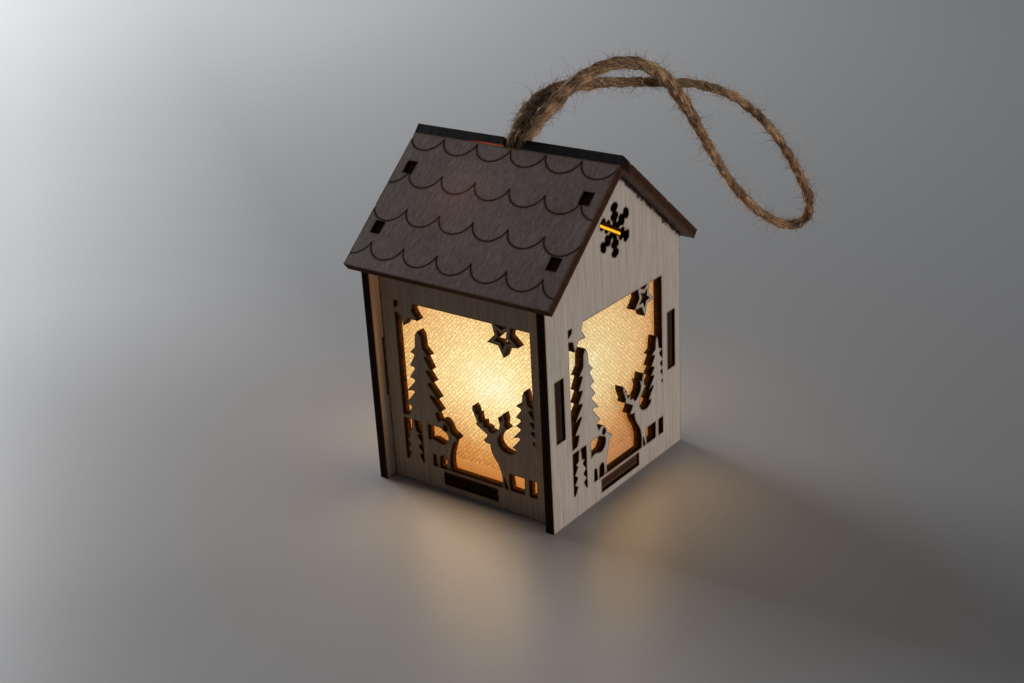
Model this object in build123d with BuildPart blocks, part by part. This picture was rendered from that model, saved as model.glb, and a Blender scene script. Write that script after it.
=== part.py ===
from build123d import *
import math
import os

# A laser-cut plywood house that stands over an LED tealight.
# Millimetres. The origin is on the table under the middle of the house, +Z is up,
# the ridge runs along X and the two gables face -X and +X.

# Plywood house
panel = 2.5  # plywood thickness
glue_gap = 0.05  # between two glued faces
slot_gap = 0.6  # each side of a tab in a wall's slot
roof_slot_gap = 0.3  # each side of a gable's tab in the roof
tab_end_gap = 0.2  # each end of a tab in its slot
tab_recess = 0.5  # a wall tab ends this far under the outer face
roof_tab_recess = 1.0
house_length = 57.1  # over the outer faces of the gables
gable_width = 60.0
gable_lip = 3.35  # the gable reaches this far past each side wall
eave_height = 60.4  # height of the gable's corners
roof_angle = 40.4  # slope of the roof in degrees
gable_overhang = 3.15  # of the roof past the gables
eave_overhangs = {"front": 1.65, "back": 2.7}  # past the gable's corners, down the slope

# Tabs that lock the panels
wall_tab_height = 16.0
wall_tab_middle = 31.9  # height of the middle of a wall tab
base_tab_length = 17.2
base_middle = 3.75  # height of the middle of the base plate
roof_tab_length = 3.3
roof_tab_places = (10.75, 29.1)  # from the ridge, down the slope

# Engraved shingles on the roof
shingle_pitch = 10.65
shingle_drop = 4.35  # from the cusps to the lowest point of a scallop
shingle_rows = 4
shingle_row_pitch = 10.8
shingle_first_row = 1.0  # cusps of the first row below the ridge
engraved_width = 0.36
engraved_depth = 0.2

# Windows and their fretwork, which was drawn for one window and follows the others' size
side_frame = 4.65  # between a gable's inner face and the side wall's window
gable_frame = 3.2  # between a side wall's inner face and the gable's window
window_sill = 6.4  # height of the window's lower edge
window_head = 9.0  # from the window's upper edge to the eaves
drawn_width = 42.8
drawn_height = 45.0
bite = 0.5  # how far a figure runs into the frame that carries it
notch_rounding = 0.4  # between two branches of a spruce
left_star_sizes = (4.5, 2.2)  # radius of its tips and of its notches
right_star_sizes = (5.0, 2.4)
star_hole_sizes = (2.7, 1.2)
left_star_turn = -29  # direction of its first tip in degrees
right_star_turn = -88

# Snowflake in the gable
snowflake_drop = 15.7  # from the ridge to its middle
snowflake_reach = 7.1
snowflake_line = 1.75  # width of a cut line
snowflake_barbs = ((3.0, 0.95), (5.4, 0.85))  # start along the arm, length
snowflake_barb_angle = 55.0

# Fabric liners behind the windows
liner_thickness = 0.4
liner_gap = 0.1
liner_overlap = 1.8  # past the window's sides
liner_rise = 4.35  # past the window's upper edge

# Jute loop
cord = 2.8  # diameter
cord_gap = 0.4  # round the cord in its hole
cord_lean = 0.65  # more room behind it, where it bends back
cord_place = -0.25  # of the cord's middle in front of the ridge
strand_spacing = 3.3
knot_length = 11.0
knot_diameter = 8.4
knot_rounding = 1.8
knot_flat = 1.6  # the loop's ends meet the knot this far above its middle

# LED tealight
light_radius = 18.5
light_height = 19.0
light_wall = 1.2
rim_rounding = 0.5
light_gap = 0.4  # between the light and the hole in the base plate
dish_floor = 15.2  # height of the dish round the flame
dish_radius = 9.0
fit = 0.1  # between parts of the light that stay put
flame_radius = 5.9
flame_height = 36.0
flame_flange = 1.4  # wider than the flame's neck
led_radius = 2.5
led_height = 8.2
led_flange = 0.4  # wider than the LED
led_flange_height = 1.0
led_headroom = 2.0  # over the LED inside the flame
lead = 0.5  # thickness of a lead
lead_spacing = 2.54
cell_radius = 10.0
cell_height = 3.2
pole_step = 1.2  # the upper pole is this much smaller all round
cell_wall = 1.6
bottom = 2.0  # thickness of the light's bottom
bottom_height = 0.8  # the bottom is this far above the table
contact = 0.3  # thickness of a contact strip
contact_width = 4.0
contact_rise = 2.5  # of the positive contact over the negative one
run_gap = 0.3  # round moving pieces
hinge_gap = 0.05  # pin in its hole
pin_radius = 0.6
pin_length = 1.2
lug_width = 6.0
lug_reach = 1.8  # from the door's rim to its pins
door_rim = 0.8  # the door is this much wider than the cell
knob_width = 1.8
knob_length = 3.4
knob_rise = 0.3  # the knob ends this far above the table
switch_travel = 2.5

# Sizes that follow from the others
slope = math.radians(roof_angle)
side_span = gable_width - 2 * gable_lip
ridge_height = eave_height + gable_width / 2 * math.tan(slope)
roof_length = house_length + 2 * gable_overhang
roof_slope = gable_width / 2 / math.cos(slope)
ridge_lap = panel / math.sin(2 * slope)  # the back panel covers the front panel's upper end
ridge_trim = (panel * math.cos(2 * slope) + glue_gap) / math.sin(2 * slope)
ridge_ends = {"front": -ridge_trim, "back": ridge_lap}  # upper ends of the panels, past the ridge
window_top = eave_height - window_head
window_height = window_top - window_sill
window_middle = (window_top + window_sill) / 2
gable_window = side_span - 2 * panel - 2 * gable_frame
side_window = house_length - 2 * panel - 2 * side_frame
slot_width = panel + 2 * slot_gap
roof_slot_width = panel + 2 * roof_slot_gap
inside_length = house_length - 2 * panel - 2 * glue_gap
inside_width = side_span - 2 * panel - 2 * glue_gap
wall_height = ridge_height - side_span / 2 * math.tan(slope) - glue_gap
base_top = base_middle + panel / 2
base_slot_length = base_tab_length + 2 * tab_end_gap
gable_middle = house_length / 2 - panel / 2
side_middle = side_span / 2 - panel / 2

os.makedirs("parts", exist_ok=True)


def spruce(middle, top, branches, foot):
    """Outline of a spruce, from its top, tip and notch of each branch, and foot, and its notches."""
    half = [*top, *branches, *foot]
    right = [(middle + x, y) for x, y in half]
    left = [(middle - x, y) for x, y in reversed(half) if x > 0]
    notches = [(middle + side * x, y) for side in (-1, 1) for x, y in branches[1::2]]
    return right + left, notches


def star(tip_radius, notch_radius, first_tip):
    """Points of a five-pointed star round the origin, its first tip at an angle in degrees."""
    points = []
    for step in range(10):
        radius = tip_radius if step % 2 == 0 else notch_radius
        angle = math.radians(first_tip + 36 * step)
        points.append((radius * math.cos(angle), radius * math.sin(angle)))
    return points


# Figures of the fretwork, seen from outside. Those on the left are measured from the window's
# lower left corner, those on the right from its lower right corner, the stars from the upper ones.
tall_spruce = spruce(
    7.1,
    top=[(0, 37.8), (0.9, 36.6), (1.2, 33.2)],
    branches=[
        (3.0, 31.4), (1.4, 31.0), (3.4, 27.6), (1.6, 27.2), (3.8, 24.2), (1.8, 23.7),
        (5.2, 19.9), (1.8, 20.9), (5.6, 16.4), (3.8, 15.8), (4.9, 13.3),
    ],
    foot=[(5.2, 11.9), (1.05, 11.9), (1.05, -bite)],
)
lowest_branch = [(-bite, 12.8), (2.6, 13.2), (2.6, 11.9), (-bite, 11.9)]
small_spruce = spruce(
    3.2,
    top=[(0, 13.5), (0.35, 12.0), (0.75, 8.8)],
    branches=[(2.0, 8.3), (1.0, 7.5), (2.5, 5.6), (1.2, 4.5), (2.6, 2.8), (1.3, 2.0), (2.5, 0)],
    foot=[(2.5, -bite)],
)
right_spruce = spruce(
    -2.6,
    top=[(0, 29.0), (0.55, 27.8), (0.8, 25.4)],
    branches=[
        (2.7, 24.5), (0.9, 23.9), (2.9, 21.3), (1.1, 20.8), (3.1, 18.8), (1.3, 18.4),
        (4.2, 15.2), (1.1, 16.3), (4.5, 12.5),
    ],
    foot=[(3.0, 12.0)],
)
fawn_back = [(8.0, 7.0), (10.2, 7.8), (12.8, 7.2), (14.8, 8.9), (14.4, 10.8)]
fawn_head = [
    (14.4, 10.8), (13.0, 11.4), (11.4, 12.4), (12.0, 13.6), (12.9, 14.2), (13.8, 14.2), (14.6, 13.7),
    (15.2, 12.9), (15.6, 11.7),
    (16.1, 11.0), (16.9, 10.7), (17.9, 10.0), (17.7, 9.5), (16.6, 8.9),
]
fawn_chest = [(16.6, 8.9), (15.8, 6.6), (15.2, 4.6), (15.4, -bite)]
fawn_foot = [(15.4, -bite), (8.0, -bite), (8.0, 7.0)]
fawn_gaps = [
    [(9.1, 0), (10.8, 0), (10.4, 3.4), (9.3, 3.6)],
    [(11.4, 0), (13.8, 0), (13.9, 2.8), (13.4, 3.8), (12.4, 3.9), (11.6, 3.2)],
    [(14.2, 0), (14.9, 0), (14.5, 1.2)],
]
fawn_ear = (14.2, 12.3)
fawn_ear_size = (0.85, 0.95)
stag_chest = [(-11.2, -bite), (-10.9, 3.1), (-11.9, 6.4), (-13.4, 8.6), (-14.1, 11.5)]
stag_head = [
    (-14.1, 11.5), (-15.7, 11.7), (-16.2, 12.2), (-15.1, 13.4), (-14.9, 14.0), (-16.8, 15.1),
    (-18.4, 16.1), (-18.0, 16.9), (-18.6, 18.3), (-19.3, 19.8), (-19.2, 21.0), (-18.5, 20.2),
    (-18.2, 18.8), (-17.5, 19.2), (-17.5, 18.0), (-17.1, 16.8), (-16.0, 17.3), (-16.0, 16.0),
    (-14.5, 15.8), (-14.2, 15.0), (-13.2, 14.8), (-12.2, 15.5), (-11.1, 16.5), (-10.7, 17.8),
    (-11.2, 19.7), (-10.3, 18.8), (-9.6, 21.1), (-9.1, 19.4), (-9.4, 17.9), (-8.4, 17.0),
    (-9.7, 16.4), (-10.7, 15.3), (-11.4, 14.2),
]
stag_back = [(-11.4, 14.2), (-11.6, 12.4), (-10.1, 10.7), (-7.2, 10.6), (-5.8, 12.1)]
stag_foot = [(-5.8, 12.1), (-3.9, 13.0), (bite, 13.0), (bite, -bite), (-11.2, -bite)]
stag_gaps = [
    [(-10.2, 0), (-9.0, 0), (-10.0, 2.8), (-10.3, 2.8)],
    [(-8.4, 0), (-3.9, 0), (-3.8, 4.7), (-8.5, 4.7), (-8.7, 2.6)],
    [(-2.4, 0), (0, 0), (0, 4.7), (-2.4, 4.7)],
]
left_star = (3.5, -2.2)
right_star = (-8.4, -3.4)


def fretwork(width):
    """The figures of a window of this width, its lower edge at the sill."""
    wide = width / drawn_width
    high = window_height / drawn_height

    def fitted(points):
        return [(x * wide, y * high) for x, y in points]

    def cut_spruce(outline, notches):
        with BuildSketch(mode=Mode.PRIVATE) as tree:
            Polygon(*fitted(outline), align=None)
            corners = [tree.vertices().sort_by_distance((x, y, 0))[0] for x, y in fitted(notches)]
            fillet(corners, notch_rounding)
        return tree.sketch

    with BuildSketch() as figures:
        with Locations((-width / 2, window_sill)):
            add(cut_spruce(*tall_spruce))
            add(cut_spruce(*small_spruce))
            Polygon(*fitted(lowest_branch), align=None)
        with BuildSketch(mode=Mode.PRIVATE) as fawn:
            with BuildLine():
                Spline(*fitted(fawn_back))
                Polyline(*fitted(fawn_head))
                Spline(*fitted(fawn_chest))
                Polyline(*fitted(fawn_foot))
            make_face()
            for gap in fawn_gaps:
                Polygon(*fitted(gap), align=None, mode=Mode.SUBTRACT)
            with Locations(*fitted([fawn_ear])):
                Ellipse(*fitted([fawn_ear_size])[0], mode=Mode.SUBTRACT)
        with BuildSketch(mode=Mode.PRIVATE) as stag:
            with BuildLine():
                Spline(*fitted(stag_chest))
                Polyline(*fitted(stag_head))
                Spline(*fitted(stag_back))
                Polyline(*fitted(stag_foot))
            make_face()
            for gap in stag_gaps:
                Polygon(*fitted(gap), align=None, mode=Mode.SUBTRACT)
        with Locations((-width / 2, window_sill)):
            add(fawn.sketch)
        with Locations((width / 2, window_sill)):
            add(stag.sketch)
            add(cut_spruce(*right_spruce))
        with Locations((-width / 2 + left_star[0] * wide, window_top + left_star[1] * high)):
            Polygon(*fitted(star(*left_star_sizes, left_star_turn)), align=None)
        with Locations((width / 2 + right_star[0] * wide, window_top + right_star[1] * high)):
            Polygon(*fitted(star(*right_star_sizes, right_star_turn)), align=None)
            Polygon(*fitted(star(*star_hole_sizes, right_star_turn)), align=None, mode=Mode.SUBTRACT)
    return figures.sketch


# Snowflake: six arms, each a stem with two pairs of barbs
with BuildSketch() as snowflake:
    with PolarLocations(0, 6, start_angle=90):
        with Locations((snowflake_reach / 2, 0)):
            SlotOverall(snowflake_reach, snowflake_line)
        for start, length in snowflake_barbs:
            for side in (-1, 1):
                with Locations(Location((start, 0), side * snowflake_barb_angle)):
                    with Locations((length / 2, 0)):
                        SlotCenterToCenter(length, snowflake_line)

gable_planes = {
    "right": Plane((house_length / 2, 0, 0), x_dir=(0, 1, 0), z_dir=(1, 0, 0)),
    "left": Plane((-house_length / 2, 0, 0), x_dir=(0, -1, 0), z_dir=(-1, 0, 0)),
}
side_planes = {
    "front": Plane((0, -side_span / 2, 0), x_dir=(1, 0, 0), z_dir=(0, -1, 0)),
    "back": Plane((0, side_span / 2, 0), x_dir=(-1, 0, 0), z_dir=(0, 1, 0)),
}
ridge_planes = {
    "front": Plane((0, 0, ridge_height), x_dir=(1, 0, 0), z_dir=(0, -math.sin(slope), math.cos(slope))),
    "back": Plane((0, 0, ridge_height), x_dir=(-1, 0, 0), z_dir=(0, math.sin(slope), math.cos(slope))),
}

# Gable walls, with tabs on their slopes that come up through the roof
for end, plane in gable_planes.items():
    with BuildPart() as gable:
        with BuildSketch(plane):
            Polygon(
                (-gable_width / 2, 0), (gable_width / 2, 0), (gable_width / 2, eave_height),
                (0, ridge_height), (-gable_width / 2, eave_height), align=None,
            )
            for side in (-1, 1):
                with Locations(Location((0, ridge_height), -side * roof_angle)):
                    with Locations(*[(side * place, 0) for place in roof_tab_places]):
                        Rectangle(roof_tab_length, 2 * (panel - roof_tab_recess))
            with Locations((0, window_middle)):
                Rectangle(gable_window, window_height, mode=Mode.SUBTRACT)
            add(fretwork(gable_window))
            with Locations((-side_middle, wall_tab_middle), (side_middle, wall_tab_middle)):
                Rectangle(slot_width, wall_tab_height + 2 * tab_end_gap, mode=Mode.SUBTRACT)
            with Locations((0, base_middle)):
                Rectangle(base_slot_length, slot_width, mode=Mode.SUBTRACT)
            with Locations((0, ridge_height - snowflake_drop)):
                add(snowflake.sketch, mode=Mode.SUBTRACT)
        extrude(amount=-panel)
    gable.part.label = f"gable_{end}"
    export_step(gable.part, f"parts/gable_{end}.step")

# Side walls, with a tab at each end that goes through the gable
for side, plane in side_planes.items():
    with BuildPart() as side_wall:
        with BuildSketch(plane):
            with Locations((0, wall_height / 2)):
                Rectangle(inside_length, wall_height)
            with Locations((0, wall_tab_middle)):
                Rectangle(house_length - 2 * tab_recess, wall_tab_height)
            with Locations((0, window_middle)):
                Rectangle(side_window, window_height, mode=Mode.SUBTRACT)
            add(fretwork(side_window))
            with Locations((0, base_middle)):
                Rectangle(base_slot_length, slot_width, mode=Mode.SUBTRACT)
        extrude(amount=-panel)
    side_wall.part.label = f"side_wall_{side}"
    export_step(side_wall.part, f"parts/side_wall_{side}.step")

# Base plate, with a tab on each side and a round hole for the light
with BuildPart() as base_plate:
    with BuildSketch(Plane.XY.offset(base_middle - panel / 2)):
        Rectangle(inside_length, inside_width)
        Rectangle(house_length - 2 * tab_recess, base_tab_length)
        Rectangle(base_tab_length, side_span - 2 * tab_recess)
        Circle(light_radius + light_gap, mode=Mode.SUBTRACT)
    extrude(amount=panel)
base_plate.part.label = "base_plate"
export_step(base_plate.part, "parts/base_plate.step")

# Roof panels, square-cut, the back one over the front one's upper end, with slots for the gables'
# tabs, rows of engraved scallops and a hole straight down through the ridge for the cord
hole_length = strand_spacing + cord + 2 * cord_gap
hole_width = cord + 2 * cord_gap + cord_lean
hole_middle = cord_place + cord_lean / 2
shingle_radius = (shingle_pitch**2 / 4 + shingle_drop**2) / (2 * shingle_drop)
shingle_count = math.ceil(roof_length / shingle_pitch / 2) + 1
for side, plane in ridge_planes.items():
    with BuildPart() as roof:
        with BuildSketch(plane):
            eave = -roof_slope - eave_overhangs[side]
            with Locations((0, (eave + ridge_ends[side]) / 2)):
                Rectangle(roof_length, ridge_ends[side] - eave)
            for place in roof_tab_places:
                with Locations((-gable_middle, -place), (gable_middle, -place)):
                    Rectangle(roof_slot_width, roof_tab_length + 2 * tab_end_gap, mode=Mode.SUBTRACT)
        extrude(amount=panel)
        with BuildSketch(Plane.XY.offset(ridge_height - 2 * panel)):
            with Locations((0, hole_middle)):
                RectangleRounded(hole_length, hole_width, cord / 2)
        extrude(amount=4 * panel, mode=Mode.SUBTRACT)
        for row in range(shingle_rows):
            cusps = -shingle_first_row - row * shingle_row_pitch
            first = 0.5 if row % 2 == 0 else 0.0
            steps = range(-shingle_count, shingle_count + 1)
            middle_height = cusps - shingle_drop + shingle_radius
            middles = [((step + first) * shingle_pitch, middle_height) for step in steps]
            with BuildSketch(plane.offset(panel)):
                with Locations(*middles):
                    Circle(shingle_radius + engraved_width / 2)
                with Locations(*middles):
                    Circle(shingle_radius - engraved_width / 2, mode=Mode.SUBTRACT)
                with Locations((0, cusps + shingle_radius)):
                    Rectangle(4 * roof_length, 2 * shingle_radius, mode=Mode.SUBTRACT)
            extrude(amount=-engraved_depth, mode=Mode.SUBTRACT)
    roof.part.label = f"roof_{side}"
    export_step(roof.part, f"parts/roof_{side}.step")

# Fabric liners, flat on the walls behind the windows
liner_bottom = base_top + liner_gap
liner_top = window_top + liner_rise
liners = {name: (plane, gable_window) for name, plane in gable_planes.items()}
liners |= {name: (plane, side_window) for name, plane in side_planes.items()}
for name, (plane, window) in liners.items():
    with BuildPart() as liner:
        with BuildSketch(plane.offset(-panel - liner_gap)):
            with Locations((0, (liner_bottom + liner_top) / 2)):
                Rectangle(window + 2 * liner_overlap, liner_top - liner_bottom)
        extrude(amount=-liner_thickness)
    liner.part.label = f"liner_{name}"
    export_step(liner.part, f"parts/liner_{name}.step")

# Jute loop: out of the ridge, over the back of the roof, round its fold and back again.
# Its points are measured from the ridge under the roof.
knot_middle = ridge_height - (knot_diameter / 2 + run_gap) / math.cos(slope)
knot_top = knot_middle + knot_flat
strand = strand_spacing / 2
loop = [
    (-strand, cord_place, 1.5), (-1.8, 2.0, 5.5), (-2.2, 5.6, 9.7), (-2.0, 10.6, 12.7), (0.0, 17.0, 14.0),
    (4.6, 26.2, 13.1), (10.0, 36.4, 11.2), (15.0, 46.0, 9.0), (20.4, 55.6, 6.9), (26.2, 64.6, 1.9),
    (31.6, 72.4, -7.1), (36.2, 78.4, -18.5), (39.4, 82.0, -28.9), (40.0, 83.2, -35.1),
    (37.8, 83.0, -39.1), (33.8, 80.0, -38.9), (30.2, 73.0, -34.1), (26.6, 63.0, -23.7),
    (24.0, 54.4, -11.1), (21.2, 47.4, 1.7), (18.4, 42.0, 10.9), (15.4, 37.2, 16.3), (11.4, 30.4, 18.9),
    (7.6, 22.4, 17.9), (5.4, 15.0, 14.0), (3.6, 8.4, 9.9), (2.1, 2.6, 5.1), (strand, cord_place, 1.5),
]
route = [(-strand, cord_place, knot_top)]
route += [(x, y, ridge_height + rise) for x, y, rise in loop]
route += [(strand, cord_place, knot_top)]
runs = [Vector(b) - Vector(a) for a, b in zip(route, route[1:])]
bends = []
for before, after in zip(runs, runs[1:]):
    half_turn = math.radians(before.get_angle(after)) / 2
    bends.append(0.45 * min(before.length, after.length) / math.tan(half_turn))
with BuildPart() as hanging_cord:
    with BuildLine() as cord_path:
        FilletPolyline(*route, radius=bends)
    with BuildSketch(Plane(route[0], z_dir=runs[0])):
        Circle(cord / 2)
    sweep()
hanging_cord.part.label = "hanging_cord"
export_step(hanging_cord.part, "parts/hanging_cord.step")
cord_length = cord_path.wire().length
cord_volume = math.pi * cord**2 / 4 * cord_length
print("cord bends, mm:", [round(bend, 1) for bend in bends])
print("cord length, mm:", round(cord_length, 1))
print("cord volume over its section times its length:", round(hanging_cord.part.volume / cord_volume, 4))

# Knot under the ridge, flat on top where the two ends of the loop meet it
with BuildPart() as cord_knot:
    with BuildSketch(Plane.YZ.offset(-knot_length / 2)):
        with Locations((0, knot_middle)):
            Circle(knot_diameter / 2)
        with Locations((0, knot_top + knot_diameter / 2)):
            Rectangle(2 * knot_diameter, knot_diameter, mode=Mode.SUBTRACT)
    extrude(amount=knot_length)
    fillet(cord_knot.edges().filter_by(GeomType.CIRCLE), knot_rounding)
cord_knot.part.label = "cord_knot"
export_step(cord_knot.part, "parts/cord_knot.step")

# Case of the light: a cup with a dished top and a hole for the flame
case_inside = light_radius - light_wall
flame_hole = flame_radius + fit
dish_under = dish_floor - light_wall
with BuildPart() as light_case:
    with BuildSketch(Plane.XZ):
        Polygon(
            (light_radius, 0), (light_radius, light_height), (case_inside, light_height),
            (dish_radius, dish_floor), (flame_hole, dish_floor), (flame_hole, dish_under),
            (dish_radius, dish_under), (case_inside, light_height - 2 * light_wall), (case_inside, 0),
            align=None,
        )
    revolve(axis=Axis.Z)
    rim = light_case.edges().filter_by(GeomType.CIRCLE).group_by(Axis.Z)[-1]
    fillet(rim, rim_rounding)
light_case.part.label = "light_case"
export_step(light_case.part, "parts/light_case.step")

# Flame: a hollow drop that stands on a flange under the dish and holds the LED
flange_top = dish_under - fit
flange_bottom = flange_top - light_wall
led_seat = led_radius + led_flange + fit
cavity_top = flange_bottom + led_height + led_headroom
with BuildPart() as flame_tip:
    with BuildSketch(Plane.XZ):
        with BuildLine():
            Polyline(
                (led_seat, flange_bottom), (flame_radius + flame_flange, flange_bottom),
                (flame_radius + flame_flange, flange_top), (flame_radius, flange_top),
                (flame_radius, dish_floor + light_wall),
            )
            Spline(
                (flame_radius, dish_floor + light_wall),
                (0.75 * flame_radius, 0.35 * dish_floor + 0.65 * flame_height),
                (0, flame_height),
                tangents=((0.1, 1), (-1, 0.6)),
            )
            Polyline(
                (0, flame_height), (0, cavity_top),
                (led_seat, cavity_top - led_seat), (led_seat, flange_bottom),
            )
        make_face()
    revolve(axis=Axis.Z)
flame_tip.part.label = "flame_tip"
export_step(flame_tip.part, "parts/flame_tip.step")

# Bottom of the light: a disc with a ring for the cell, an opening for its door, a slot for the
# switch and two holes for the door's pins
bottom_top = bottom_height + bottom
bottom_radius = case_inside - fit
cell_bottom = bottom_top + run_gap
cell_top = cell_bottom + cell_height
ring_top = cell_top + fit / 2
ring_inside = cell_radius + 2 * fit
ring_outside = ring_inside + cell_wall
door_radius = cell_radius + door_rim
door_opening = door_radius + run_gap
hinge_x = -door_radius - lug_reach
hinge_z = bottom_height + bottom / 2
lug_slot = bottom / 2 + run_gap
switch_x = (ring_outside + bottom_radius) / 2
slot_length = knob_length + switch_travel + 2 * run_gap
with BuildPart() as light_base:
    with BuildSketch(Plane.XY.offset(bottom_height)):
        Circle(bottom_radius)
        Circle(door_opening, mode=Mode.SUBTRACT)
        with Locations((hinge_x / 2 - lug_slot / 2, 0)):
            Rectangle(-hinge_x + lug_slot, lug_width + 2 * run_gap, mode=Mode.SUBTRACT)
        with Locations((switch_x, 0)):
            Rectangle(knob_width + 2 * run_gap, slot_length, mode=Mode.SUBTRACT)
    extrude(amount=bottom)
    with BuildSketch(Plane.XY.offset(bottom_top)):
        Circle(ring_outside)
        Circle(ring_inside, mode=Mode.SUBTRACT)
        with Locations((ring_inside, 0)):
            Rectangle(2 * cell_wall, contact_width + 2 * run_gap, mode=Mode.SUBTRACT)
    extrude(amount=ring_top - bottom_top)
    with BuildSketch(Plane.XZ.offset(-lug_width)):
        with Locations((hinge_x, hinge_z)):
            Circle(pin_radius + hinge_gap)
    extrude(amount=2 * lug_width, mode=Mode.SUBTRACT)
light_base.part.label = "light_base"
export_step(light_base.part, "parts/light_base.step")

# Battery door: a round lid with a hinge lug and a pin each side of it
with BuildPart() as battery_door:
    with BuildSketch(Plane.XY.offset(bottom_height)):
        Circle(door_radius)
        with Locations((hinge_x / 2, 0)):
            Rectangle(-hinge_x, lug_width)
    extrude(amount=bottom)
    with BuildSketch(Plane.XZ.offset(-lug_width / 2)):
        with Locations((hinge_x, hinge_z)):
            Circle(bottom / 2)
    extrude(amount=lug_width)
    with BuildSketch(Plane.XZ.offset(-lug_width / 2 - pin_length)):
        with Locations((hinge_x, hinge_z)):
            Circle(pin_radius)
    extrude(amount=lug_width + 2 * pin_length)
battery_door.part.label = "battery_door"
export_step(battery_door.part, "parts/battery_door.step")

# Switch: a knob through the bottom on a plate that slides above it, at rest at the -Y end
with BuildPart() as switch_slider:
    with BuildSketch(Plane.XY.offset(knob_rise)):
        with Locations((switch_x, -switch_travel / 2)):
            Rectangle(knob_width, knob_length)
    extrude(amount=bottom_top + fit - knob_rise)
    with BuildSketch(Plane.XY.offset(bottom_top + fit)):
        with Locations((switch_x, -switch_travel / 2)):
            Rectangle(knob_width + 4 * run_gap, knob_length + 4 * run_gap)
    extrude(amount=2 * run_gap)
switch_slider.part.label = "switch_slider"
export_step(switch_slider.part, "parts/switch_slider.step")

# Coin cell with its smaller negative pole on top
with BuildPart() as coin_cell:
    with BuildSketch(Plane.XY.offset(cell_bottom)):
        Circle(cell_radius)
    extrude(amount=cell_height - contact)
    with BuildSketch(Plane.XY.offset(cell_top - contact)):
        Circle(cell_radius - pole_step)
    extrude(amount=contact)
coin_cell.part.label = "coin_cell"
export_step(coin_cell.part, "parts/coin_cell.step")

# Contacts: one lies on the ring and the cell's upper pole, one stands beside the cell
negative_bottom = ring_top + fit / 2
anode_end = negative_bottom + contact_rise
with BuildPart() as negative_contact:
    with BuildSketch(Plane.XY.offset(negative_bottom)):
        with Locations((-ring_outside / 2 - lead / 2, 0)):
            Rectangle(ring_outside - lead, contact_width)
    extrude(amount=contact)
negative_contact.part.label = "negative_contact"
export_step(negative_contact.part, "parts/negative_contact.step")

strip_x = cell_radius + fit
with BuildPart() as positive_contact:
    with BuildSketch(Plane.XZ.offset(-contact_width / 2)):
        with BuildLine():
            Polyline(
                (strip_x, cell_bottom), (strip_x + contact, cell_bottom),
                (strip_x + contact, anode_end + contact), (lead_spacing / 2 - lead / 2, anode_end + contact),
                (lead_spacing / 2 - lead / 2, anode_end), (strip_x, anode_end), close=True,
            )
        make_face()
    extrude(amount=contact_width)
positive_contact.part.label = "positive_contact"
export_step(positive_contact.part, "parts/positive_contact.step")

# LED: a domed bulb on a flange, with one lead down to each contact
lead_ends = {1: anode_end + contact + fit / 2, -1: negative_bottom + contact + fit / 2}
with BuildPart() as led:
    with BuildSketch(Plane.XY.offset(flange_bottom)):
        Circle(led_radius + led_flange)
    extrude(amount=led_flange_height)
    with BuildSketch(Plane.XY.offset(flange_bottom + led_flange_height)):
        Circle(led_radius)
    extrude(amount=led_height - led_flange_height - led_radius)
    with Locations((0, 0, flange_bottom + led_height - led_radius)):
        Sphere(led_radius)
    for side, lead_end in lead_ends.items():
        with BuildSketch(Plane.XY.offset(lead_end)):
            with Locations((side * lead_spacing / 2, 0)):
                Rectangle(lead, lead)
        extrude(amount=flange_bottom - lead_end)
led.part.label = "led"
export_step(led.part, "parts/led.step")
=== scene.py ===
# %% [markdown]
# # A plywood tealight house
# The house is cut from thin plywood by a laser, lined with glittering fabric and lit from inside.
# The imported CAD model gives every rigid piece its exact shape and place. This file loads it and adds
# what solids can't show: wood grain, burnt edges, woven fabric, twisted jute and light.

# %% The frame
import bpy
import bmesh
import math
import numpy as np
from mathutils import Matrix, Vector


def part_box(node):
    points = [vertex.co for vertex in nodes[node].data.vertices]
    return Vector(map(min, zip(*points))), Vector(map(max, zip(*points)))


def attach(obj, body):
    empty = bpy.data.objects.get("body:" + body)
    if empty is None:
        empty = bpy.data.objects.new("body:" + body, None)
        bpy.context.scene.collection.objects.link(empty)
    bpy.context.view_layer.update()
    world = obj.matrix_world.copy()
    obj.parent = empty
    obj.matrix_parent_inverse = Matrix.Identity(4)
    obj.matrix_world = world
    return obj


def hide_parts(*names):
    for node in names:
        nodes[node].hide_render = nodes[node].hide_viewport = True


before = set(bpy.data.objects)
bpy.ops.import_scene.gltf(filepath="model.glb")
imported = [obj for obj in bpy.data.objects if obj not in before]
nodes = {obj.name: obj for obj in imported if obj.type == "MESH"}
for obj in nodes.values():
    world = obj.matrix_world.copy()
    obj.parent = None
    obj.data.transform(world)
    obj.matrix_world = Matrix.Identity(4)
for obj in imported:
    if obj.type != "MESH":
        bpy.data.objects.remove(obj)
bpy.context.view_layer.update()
scene = bpy.context.scene
print("pieces from the CAD model:", len(nodes))

# %% [markdown]
# ## The camera
# The camera stands where the photographer stood: in front of the house, to its right and above it.
# Its three directions were worked out from the corners of the house, so they are written as they are.

# %% Camera
camera_data = bpy.data.cameras.new("camera")
camera_data.lens = 52.77
camera_data.sensor_width = 36.0
camera_data.clip_start = 0.01
camera = bpy.data.objects.new("camera", camera_data)
scene.collection.objects.link(camera)
right = Vector((0.79754874, 0.60112928, -0.0505925))
up = Vector((-0.20204284, 0.34519744, 0.91652464))
back = Vector((0.5684142, -0.72075122, 0.39676565))
stand = Matrix((right, up, back)).transposed().to_4x4()
stand.translation = (0.220899, -0.286429, 0.191067)
camera.matrix_world = stand
scene.camera = camera
print("camera at", [round(x, 3) for x in stand.translation])

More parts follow.
